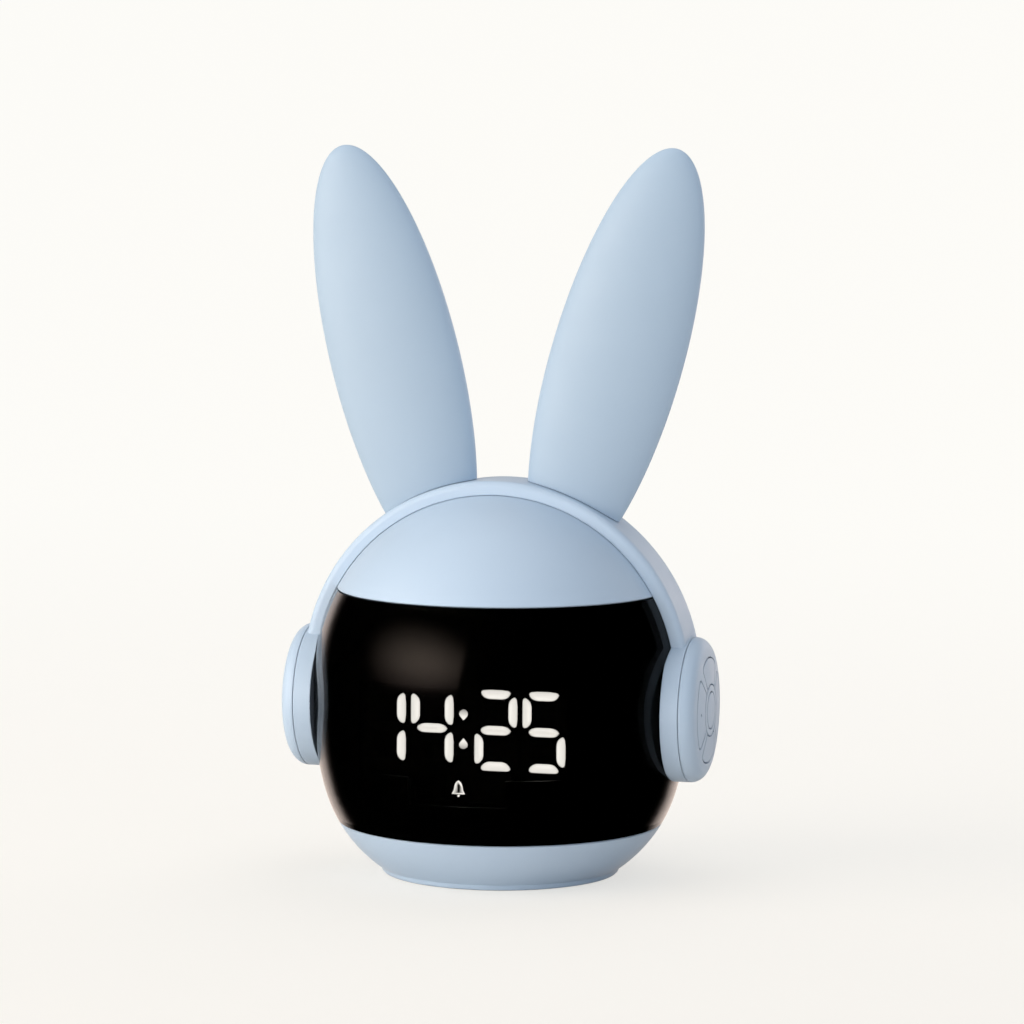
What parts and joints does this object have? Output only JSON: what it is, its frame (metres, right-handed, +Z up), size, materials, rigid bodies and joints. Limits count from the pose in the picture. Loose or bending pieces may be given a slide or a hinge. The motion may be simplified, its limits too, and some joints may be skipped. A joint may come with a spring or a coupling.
{
  "type": "kids alarm clock with night light",
  "caption": "Ball-shaped bedside alarm clock with wrap-around dark display window, headphone arch, side cup with press buttons, and tall light-up ears.",
  "frame": {"origin": "middle of the base, on the table surface under the round body", "axes": "+Z up, -Y towards the viewer (the display looks along -Y), +X to the viewer's right, through the cup that carries the buttons"},
  "size_m": [0.109, 0.0946, 0.1836],
  "materials": {
    "shell_blue": "satin light blue moulded plastic",
    "ear_blue": "satin light blue light-passing plastic",
    "window_black": "polished smoked black",
    "inner_black": "matt black moulding",
    "lamp_white": "white lamp board",
    "mat_silicone": "soft grey silicone",
    "board_green": "green solder mask",
    "segment_lit": "lit white",
    "segment_dark": "unlit smoked",
    "chip_black": "moulded black",
    "cell_wrap": "shrink wrap",
    "cradle_white": "moulded white",
    "socket_steel": "plated",
    "cone_paper": "pressed paper",
    "magnet_steel": "plated",
    "foot_rubber": "matt grey",
    "screw_steel": "plated"
  },
  "bodies": {
    "clock": {"front_housing": "shell_blue", "rear_cover": "shell_blue", "display_window": "window_black", "window_frame": "inner_black", "headband": "shell_blue", "right_cap": "shell_blue", "left_cap": "shell_blue", "right_ear": "ear_blue", "left_ear": "ear_blue", "right_ear_lamp": "lamp_white", "left_ear_lamp": "lamp_white", "button_mat": "mat_silicone", "button_board": "board_green", "display_module": "inner_black", "lit_segments": "segment_lit", "dark_segments": "segment_dark", "display_board": "board_green", "main_board": "board_green", "board_parts": "chip_black", "battery_cell": "cell_wrap", "battery_cradle": "cradle_white", "charge_board": "board_green", "charge_socket": "socket_steel", "speaker_frame": "inner_black", "speaker_cone": "cone_paper", "speaker_magnet": "magnet_steel", "speaker_grille": "shell_blue", "foot_ring": "foot_rubber", "housing_screws": "screw_steel", "board_screws": "screw_steel"},
    "middle_button": {"middle_button": "shell_blue"},
    "upper_button": {"upper_button": "shell_blue"},
    "lower_button": {"lower_button": "shell_blue"},
    "front_button": {"front_button": "shell_blue"},
    "rear_button": {"rear_button": "shell_blue"}
  },
  "joints": [
    {"name": "middle_press", "type": "slide", "parent": "clock", "child": "middle_button", "axis": [-1, 0, 0], "range_m": [0, 0.0005], "stiffness_N_per_m": 400},
    {"name": "upper_press", "type": "slide", "parent": "clock", "child": "upper_button", "axis": [-1, 0, 0], "range_m": [0, 0.0005], "stiffness_N_per_m": 400},
    {"name": "lower_press", "type": "slide", "parent": "clock", "child": "lower_button", "axis": [-1, 0, 0], "range_m": [0, 0.0005], "stiffness_N_per_m": 400},
    {"name": "front_press", "type": "slide", "parent": "clock", "child": "front_button", "axis": [-1, 0, 0], "range_m": [0, 0.0005], "stiffness_N_per_m": 400},
    {"name": "rear_press", "type": "slide", "parent": "clock", "child": "rear_button", "axis": [-1, 0, 0], "range_m": [0, 0.0005], "stiffness_N_per_m": 400}
  ]
}
